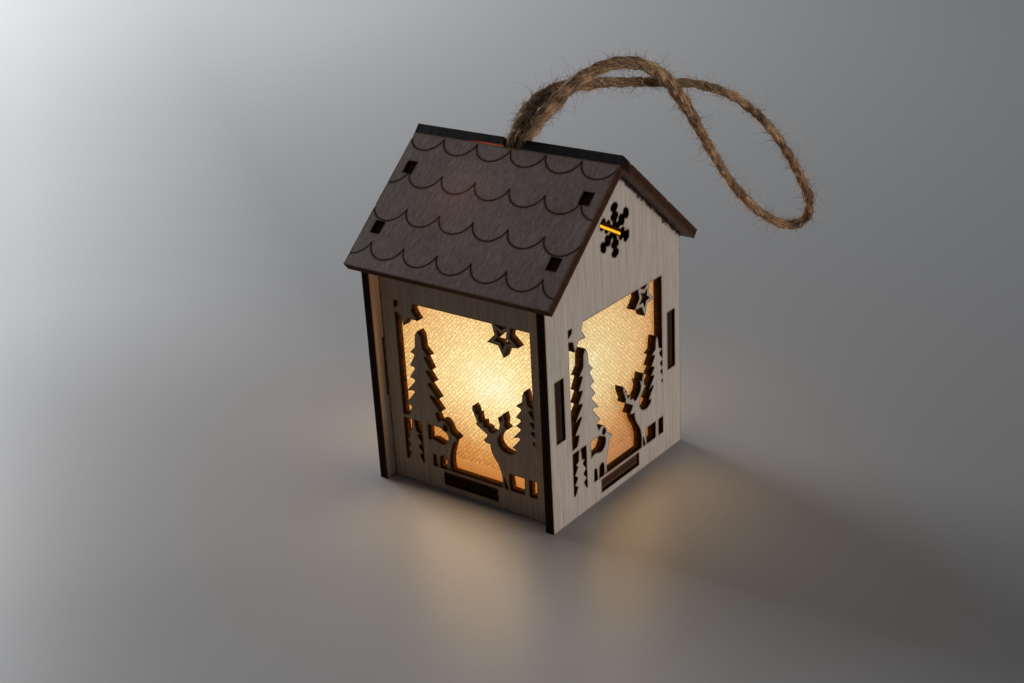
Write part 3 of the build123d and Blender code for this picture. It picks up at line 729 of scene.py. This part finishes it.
# The side walls are darker in a ragged band along their ends.
to_the_end = math_of(tree, "ABSOLUTE", dot_of(tree, side_wood["where"], (1, 0, 0)))
ragged = product_of(tree, noise_of(tree, side_wood["where"], 300.0, 2.0), 0.0010)
dark_wall_end = span_of(tree, sum_of(tree, to_the_end, ragged), 0.0260, 0.0264, 0.0, 0.8)
stain_on(side_wood, dark_wall_end, shade_and_end_colour)
dress(side_wood["material"], "side_wall_front", "side_wall_back")
base_wood = plywood(
    "plywood_base", upright, (1, 0, 0), base_middle, wall_streak, side_pale, side_dark, wall_relief,
)
dress(base_wood["material"], "base_plate")
print("walls and base done")

# %% [markdown]
# ## Plywood roof
# The roof's grain is shorter and greyer, and its shingles are engraved lines. At the ridge a little
# painted light comes out between the panels, left of the twine, and the front panel is faintly lit
# through with painted light above the light. Painted shade lies along the gables' slopes, just under
# the roof. The tabs that come up through the roof are painted dark as shade in their slots, though
# a little paler than the slots.

# %% Roof
slope = math.radians(40.4)
front_up = Vector((0, -math.sin(slope), math.cos(slope)))
back_up = Vector((0, math.sin(slope), math.cos(slope)))
roof_middle = ridge.z * millimetre * math.cos(slope) + panel / 2
roof_pale = (0.51, 0.40, 0.368)
roof_dark = (0.265, 0.20, 0.178)
roof_streak = (0.0026, 0.0007)
roof_relief = 0.0008


def roof_wood(name, upwards):
    """Plywood of a roof panel with engraved shingles."""
    down_slope = upwards.cross((1, 0, 0))
    return plywood(
        name, upwards, down_slope, roof_middle, roof_streak, roof_pale, roof_dark, roof_relief,
        engraved=True,
    )


front_roof = roof_wood("plywood_roof_front", front_up)
tree = front_roof["tree"]
lit_place = Vector((-9.0, -14.0, 77.2)) * millimetre
away = distance_of(tree, front_roof["where"], lit_place)
glow_on(front_roof, span_of(tree, away, 0.0, 0.014, 1.0, 0.0), (0.022, 0.005, 0.002))
dress(front_roof["material"], "roof_front")

back_roof = roof_wood("plywood_roof_back", back_up)
tree = back_roof["tree"]
along_ridge = dot_of(tree, back_roof["where"], (1, 0, 0))
rise = span_of(tree, along_ridge, -0.014, -0.008)
fall = span_of(tree, along_ridge, -0.004, -0.002, 1.0, 0.0)
at_ridge = math_of(tree, "LESS_THAN", dot_of(tree, back_roof["where"], (0, 1, 0)), 0.002)
lower_rim = span_of(tree, back_roof["depth"], -1.0, -0.7, 1.0, 0.0)
leak = product_of(tree, back_roof["is_edge"], at_ridge, rise, fall, lower_rim)
glow_on(back_roof, leak, (0.45, 0.045, 0.006))
stain_on(back_roof, product_of(tree, back_roof["is_edge"], at_ridge, 0.85), (0.004, 0.003, 0.002))
dress(back_roof["material"], "roof_back")

tree = gable_wood["tree"]
beside_ridge = math_of(tree, "ABSOLUTE", dot_of(tree, gable_wood["where"], (0, 1, 0)))
up_slope = sum_of(
    tree, product_of(tree, beside_ridge, math.sin(slope)),
    product_of(tree, dot_of(tree, gable_wood["where"], upright), math.cos(slope)),
)
under_roof = math_of(tree, "SUBTRACT", ridge.z * millimetre * math.cos(slope), up_slope)
# Painted shade along the gables' slopes, just under the roof, in a ragged band.
above_or_below = math_of(tree, "SUBTRACT", noise_of(tree, gable_wood["where"], 420.0, 2.0), 0.5)
patchy = product_of(tree, above_or_below, 0.004)
shade_under_roof = span_of(tree, sum_of(tree, under_roof, patchy), 0.0006, 0.0012, 0.85, 0.0)
stain_on(gable_wood, shade_under_roof, shade_and_end_colour)
# Painted shade in the roof's slots: the tabs that come up through them are dark brown, a little paler than
# the slots.
stain_on(gable_wood, span_of(tree, under_roof, -0.0008, -0.0005, 1.0, 0.0), (0.07, 0.036, 0.022))
print("roof done")

# %% [markdown]
# ## Fabric liners
# A piece of cream fabric with a metallic thread is glued behind each window, and the light behind
# it makes it glow. It is a real sheet here: a fine grid that bellies inwards by a hair, with a hem
# turned up along its lower edge, thickened afterwards. The weave is in the material.

# %% Liner sheets
liner_thickness = 0.0003
liner_shift = 0.0001
liner_slack = 0.0005
hem = 3.7
hem_bend = 0.5
hem_wave = 0.11
hem_thickness = 0.00012


def hem_edge(across):
    """How high the turned-up hem reaches at a place across the sheet, in millimetres."""
    return hem + hem_bend * math.cos(hem_wave * across)


def liner_sheet(name, node, inwards):
    """A slightly slack sheet in the place of a flat CAD liner, with its map in millimetres."""
    low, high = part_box(node)
    inwards = Vector(inwards)
    across = inwards.cross((0, 0, 1))
    width = abs((high - low).dot(across))
    height = high.z - low.z
    middle = (low + high) / 2 - inwards * liner_shift
    columns, rows = 46, 50
    vertices, faces, cloth_map = [], [], []
    for j in range(rows + 1):
        for i in range(columns + 1):
            u = (i / columns - 0.5) * width * 1000
            v = j / rows * height * 1000
            belly = math.sin(math.pi * i / columns) * math.sin(math.pi * j / rows)
            slack = liner_slack * belly * (1 + 0.4 * math.sin(0.2 * u + 0.08 * v))
            doubled = hem_thickness if v < hem_edge(u) else 0.0
            point = middle + across * u * millimetre + inwards * (slack - doubled)
            point.z = low.z + v * millimetre
            vertices.append(point)
            cloth_map.append((u, v))
    for j in range(rows):
        for i in range(columns):
            corner = j * (columns + 1) + i
            faces.append((corner, corner + 1, corner + columns + 2, corner + columns + 1))
    mesh = bpy.data.meshes.new(name)
    mesh.from_pydata(vertices, [], faces)
    places = [cloth_map[index] for face in faces for index in face]
    mesh.uv_layers.new(name="weave").data.foreach_set("uv", np.array(places).ravel())
    mesh.polygons.foreach_set("use_smooth", [True] * len(faces))
    sheet = bpy.data.objects.new(name, mesh)
    scene.collection.objects.link(sheet)
    solidify = sheet.modifiers.new("cloth", "SOLIDIFY")
    solidify.thickness = liner_thickness
    solidify.offset = 0.0
    solidify.material_offset = 1
    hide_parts(node)
    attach(sheet, "house")
    return sheet


fabric_right = liner_sheet("fabric_right", "liner_right", (-1, 0, 0))
fabric_left = liner_sheet("fabric_left", "liner_left", (1, 0, 0))
fabric_front = liner_sheet("fabric_front", "liner_front", (0, 1, 0))
fabric_back = liner_sheet("fabric_back", "liner_back", (0, -1, 0))
print("liner faces:", len(fabric_front.data.polygons))

# %% [markdown]
# ## Liner material
# Two sets of slanted threads cross in the weave. Uneven painted light picks out some of the threads,
# and small painted glints stand for the sparkle of the metallic one. The glow is painted light too:
# strongest where the flame stands behind the cloth, sinking to amber near the hem. It is part of the
# fabric, so the piece glows in any scene.
# The inner side faces the flame and is a brighter, plainer gold.

# %% Liner fabric
thread_pitch = 0.92


def glowing_fabric(name, hot_place, level):
    """Cream woven fabric lit from behind, hottest at a place in millimetres on its own map."""
    material, tree, shader, place = new_material(name)
    on_cloth = place.outputs["UV"]
    split = add(tree, "ShaderNodeSeparateXYZ", {0: on_cloth})
    u, v = split.outputs[0], split.outputs[1]
    thread = 2 * math.pi / (thread_pitch * math.sqrt(2))
    wander = product_of(tree, noise_of(tree, on_cloth, 0.5, 2.0), 1.2)
    rising = sum_of(tree, u, v, wander)
    falling = math_of(tree, "SUBTRACT", sum_of(tree, u, wander), v)
    one_way = math_of(tree, "SINE", product_of(tree, rising, thread))
    other_way = math_of(tree, "SINE", product_of(tree, falling, thread))
    crossing = product_of(tree, sum_of(tree, one_way, other_way), 0.5)
    spots = add(tree, "ShaderNodeTexVoronoi", {"Vector": on_cloth, "Scale": 1.25, "Randomness": 0.75})
    chance = add(tree, "ShaderNodeSeparateColor", {0: spots.outputs["Color"]}).outputs[0]
    small_spot = span_of(tree, spots.outputs["Distance"], 0.08, 0.42, 1.0, 0.0)
    glint = product_of(tree, span_of(tree, chance, 0.0, 0.85), small_spot)
    uneven_light = span_of(tree, noise_of(tree, on_cloth, 1.2, 2.0), 0.46, 0.66)
    bright_thread = product_of(tree, uneven_light, span_of(tree, crossing, 0.15, 0.9))

    across = math_of(tree, "DIVIDE", math_of(tree, "SUBTRACT", u, hot_place[0]), 23.0)
    upwards = math_of(tree, "DIVIDE", math_of(tree, "SUBTRACT", v, hot_place[1]), 19.0)
    squares = sum_of(tree, product_of(tree, across, across), product_of(tree, upwards, upwards))
    glow = span_of(tree, math_of(tree, "SQRT", squares), 0.0, 2.3, 1.0, 0.0)
    low_down = span_of(tree, v, 2.0, 24.0, -0.36, 0.0)
    cloud = product_of(tree, math_of(tree, "SUBTRACT", noise_of(tree, on_cloth, 0.12, 2.0), 0.5), 0.2)
    bend = product_of(tree, math_of(tree, "COSINE", product_of(tree, u, hem_wave)), hem_bend)
    over_hem = math_of(tree, "SUBTRACT", v, math_of(tree, "ADD", bend, hem))
    on_hem = span_of(tree, over_hem, -0.1, 0.1, 0.07, 0.0)
    fold = span_of(tree, math_of(tree, "ABSOLUTE", over_hem), 0.0, 0.4, 0.08, 0.0)
    light = ramp_of(tree, sum_of(tree, glow, low_down, cloud, on_hem, fold), [
        (0.0, (0.42, 0.13, 0.02)), (0.28, (0.60, 0.25, 0.06)), (0.55, (0.80, 0.49, 0.19)),
        (0.80, (0.92, 0.70, 0.32)), (1.0, (1.0, 0.88, 0.55)),
    ])
    woven = sum_of(tree, product_of(tree, crossing, 0.14), product_of(tree, bright_thread, 0.8))
    sparkle = sum_of(tree, woven, product_of(tree, glint, 0.9), 0.86)
    sparkle = mix_of(tree, span_of(tree, over_hem, -0.3, 0.2), (0.95, 0.95, 0.95, 1.0), sparkle)
    light = mix_of(tree, 1.0, light, sparkle, "MULTIPLY")
    raised = span_of(tree, crossing, -1.0, 1.0)
    cloth = mix_of(tree, raised, (0.16, 0.10, 0.045, 1.0), (0.22, 0.15, 0.08, 1.0))
    bump = add(tree, "ShaderNodeBump", {"Height": crossing, "Strength": 0.6, "Distance": 0.0001})
    set_inputs(tree, shader, {
        "Base Color": cloth, "Roughness": 0.6, "Normal": bump.outputs[0],
        "Emission Color": light, "Emission Strength": level, "Sheen Weight": 0.1,
    })
    return material


def lit_side(name):
    """The inner side of the fabric, bright gold painted light from the flame, dimmed at its upper edge."""
    material, tree, shader, place = new_material(name)
    weave = add(tree, "ShaderNodeTexVoronoi", {"Vector": place.outputs["UV"], "Scale": 1.5})
    height = add(tree, "ShaderNodeSeparateXYZ", {0: place.outputs["UV"]}).outputs[1]
    light = ramp_of(tree, weave.outputs["Distance"], [(0.1, (1.0, 0.72, 0.13)), (0.7, (1.0, 0.50, 0.04))])
    light = mix_of(tree, span_of(tree, height, 49.3, 50.3), light, (0.22, 0.06, 0.008, 1.0))
    set_inputs(tree, shader, {
        "Base Color": (0.5, 0.36, 0.16, 1.0), "Roughness": 0.7,
        "Emission Color": light, "Emission Strength": 1.0,
    })
    return material


inner_side = lit_side("liner_fabric_inside")
front_fabric = glowing_fabric("liner_fabric_front", (6.5, 27.5), 1.15)
gable_fabric = glowing_fabric("liner_fabric_gable", (-12.0, 30.0), 0.80)
plain_fabric = glowing_fabric("liner_fabric_plain", (0.0, 27.0), 0.9)
for sheet, outer_side in (
    (fabric_right, gable_fabric), (fabric_left, plain_fabric),
    (fabric_front, front_fabric), (fabric_back, plain_fabric),
):
    sheet.data.materials.append(outer_side)
    sheet.data.materials.append(inner_side)
print("fabric done")

# %% [markdown]
# ## The light
# An LED tealight stands under the house: a white plastic cup with a soft flame. Moulded plastic
# isn't perfectly even, so each finish gets a faint mottle and its own gloss. The metal is rolled, so
# it has fine lines in one direction.

# %% Finishes of the light
def moulded(name, colour, roughness, glow=(0.0, 0.0, 0.0), strength=0.0, subsurface=0.0):
    """Moulded plastic with a faint mottle, lit from inside where it has a glow."""
    material, tree, shader, place = new_material(name)
    mottle = noise_of(tree, place.outputs["Object"], 260.0)
    body = ramp_of(tree, mottle, [(0.3, tuple(0.86 * c for c in colour)), (0.7, colour)])
    skin = noise_of(tree, place.outputs["Object"], 2500.0)
    bump = add(tree, "ShaderNodeBump", {"Height": skin, "Strength": 0.08, "Distance": 0.0001})
    set_inputs(tree, shader, {
        "Base Color": body, "Roughness": roughness, "Normal": bump.outputs[0],
        "Subsurface Weight": subsurface, "Subsurface Scale": 0.004,
        "Emission Color": (*glow, 1.0), "Emission Strength": strength,
    })
    return material


def rolled_metal(name, colour, roughness):
    """Rolled metal with fine lines along Y."""
    material, tree, shader, place = new_material(name)
    drawn_out = {"Vector": place.outputs["Object"], "Scale": (9000, 300, 9000)}
    lines = noise_of(tree, add(tree, "ShaderNodeMapping", drawn_out).outputs[0], 1.0, 2.0)
    body = ramp_of(tree, lines, [(0.3, tuple(0.8 * c for c in colour)), (0.7, colour)])
    gloss = span_of(tree, lines, 0.2, 0.8, roughness - 0.06, roughness + 0.06)
    set_inputs(tree, shader, {"Base Color": body, "Metallic": 1.0, "Roughness": gloss})
    return material


amber = (1.0, 0.6, 0.2)
dress(moulded("white_plastic", (0.80, 0.79, 0.75), 0.38), "light_case", "light_base", "battery_door")
dress(moulded("switch_plastic", (0.035, 0.035, 0.036), 0.5), "switch_slider")
dress(moulded("flame_plastic", (0.9, 0.66, 0.34), 0.45, amber, 3.0, subsurface=0.3), "flame_tip")
dress(moulded("led_resin", (0.85, 0.55, 0.18), 0.2, amber, 4.0), "led")
dress(rolled_metal("cell_steel", (0.62, 0.62, 0.63), 0.3), "coin_cell")
dress(rolled_metal("contact_metal", (0.68, 0.52, 0.26), 0.35), "positive_contact", "negative_contact")
print("light done")

# %% [markdown]
# ## The table
# The house stands on a pale surface that fills the picture. Light and shade are painted into its
# colour: it is palest in a long painted streak of light on the left, greyer towards the right, away
# from the window, and a little paler again at the front, in a painted pool of light.

# %% Table
reach = 6
corners = [(-reach, -reach, 0), (reach, -reach, 0), (reach, reach, 0), (-reach, reach, 0)]
table_mesh = bpy.data.meshes.new("table")
table_mesh.from_pydata(corners, [], [(0, 1, 2, 3)])
table = bpy.data.objects.new("table", table_mesh)
scene.collection.objects.link(table)
table_material, tree, shader, place = new_material("table_surface")
ground = place.outputs["Object"]
# Painted shade: the table greys towards the right and further from the far left.
to_the_right = dot_of(tree, ground, Vector((0.9, 0.45, 0)))
speck = product_of(tree, noise_of(tree, ground, 900.0, 2.0), 0.03)
shade = sum_of(
    tree,
    span_of(tree, to_the_right, -0.22, 0.18, 0.0, 0.4),
    span_of(tree, distance_of(tree, ground, (-0.8, 0.4, 0.0)), 0.35, 1.0, 0.0, 0.6),
    speck,
)
paper = ramp_of(tree, shade, [(0.0, (0.65, 0.655, 0.67)), (1.0, (0.26, 0.265, 0.275))])
# Painted light: a long pale streak on the left and a paler pool at the front.
across_streak = dot_of(tree, ground, Vector((0.586, 0.81, 0)))
along_streak = dot_of(tree, ground, Vector((0.81, -0.586, 0)))
painted_light_streak = product_of(
    tree,
    span_of(tree, across_streak, -0.13, -0.03, 0.9, 0.0),
    span_of(tree, along_streak, -0.85, -0.33),
    span_of(tree, along_streak, -0.17, 0.03, 1.0, 0.0),
)
from_front = distance_of(tree, ground, (0.15, -0.15, 0.0))
painted_front_pool = span_of(tree, from_front, 0.11, 0.175, 0.14, 0.0)
painted_light_pools = math_of(tree, "MAXIMUM", painted_light_streak, painted_front_pool)
paper = mix_of(tree, painted_light_pools, paper, (0.95, 0.955, 0.97, 1.0))
set_inputs(tree, shader, {"Base Color": paper, "Roughness": 0.38, "Specular IOR Level": 0.4})
table_mesh.materials.append(table_material)
print("table done")

# %% [markdown]
# ## The lamps
# A large soft lamp far out on the left, a little behind the house, makes the table brightest there
# and lays the shadow to the right. A low wide lamp on the right lights the gable without lighting the
# table much. Real windows are far brighter than a picture can show, so a small warm lamp before each
# window gives the table its glow. The room is dim to the surfaces, but pale where a camera or a
# reflection looks at it.

# %% Lamps
def soft_lamp(name, place, target, width, height, power, colour):
    """A rectangular soft lamp that looks at a point."""
    data = bpy.data.lights.new(name, "AREA")
    data.shape = "RECTANGLE"
    data.size = width
    data.size_y = height
    data.energy = power
    data.color = colour
    lamp = bpy.data.objects.new(name, data)
    lamp.location = place
    lamp.rotation_euler = (Vector(target) - Vector(place)).to_track_quat("-Z", "Y").to_euler()
    scene.collection.objects.link(lamp)
    return lamp


def window_glow(name, x, y, power):
    """A small warm lamp just outside a window. It looks away from the house, and no camera sees it."""
    place = (x, y, glow_height)
    target = (2 * x, 2 * y, glow_height)
    lamp = soft_lamp(name, place, target, glow_size, glow_size, power, candle_colour)
    lamp.visible_camera = False


daylight, room_light, candle_colour = (0.97, 0.985, 1.0), (1.0, 0.98, 0.95), (1.0, 0.60, 0.27)
glow_height = 0.029
glow_size = 0.036
soft_lamp("left_lamp", (-1.28, 0.16, 0.47), (-0.1, 0.0, 0.0), 0.6, 0.6, 15.0, daylight)
soft_lamp("right_lamp", (0.95, 0.34, 0.12), (0.03, 0.0, 0.04), 0.5, 0.3, 6.2, room_light)
window_glow("front_glow", 0, -0.0278, 0.011)
window_glow("back_glow", 0, 0.0278, 0.011)
window_glow("right_glow", 0.0297, 0, 0.009)
window_glow("left_glow", -0.0297, 0, 0.009)
world = bpy.data.worlds.new("room")
world.use_nodes = True
room = world.node_tree
dim_room = room.nodes["Background"]
set_inputs(room, dim_room, {"Color": (0.80, 0.82, 0.86, 1.0), "Strength": 0.055})
pale_room = add(room, "ShaderNodeBackground", {"Color": (0.72, 0.73, 0.75, 1.0), "Strength": 0.5})
path = add(room, "ShaderNodeLightPath").outputs
seen = math_of(room, "MAXIMUM", path["Is Camera Ray"], path["Is Glossy Ray"])
seen = math_of(room, "MAXIMUM", seen, path["Is Transmission Ray"])
both = add(room, "ShaderNodeMixShader", {0: seen, 1: dim_room.outputs[0], 2: pale_room.outputs[0]})
room.links.new(both.outputs[0], room.nodes["World Output"].inputs[0])
scene.world = world
scene.view_settings.view_transform = "Standard"
print("lamps:", len(bpy.data.lights))
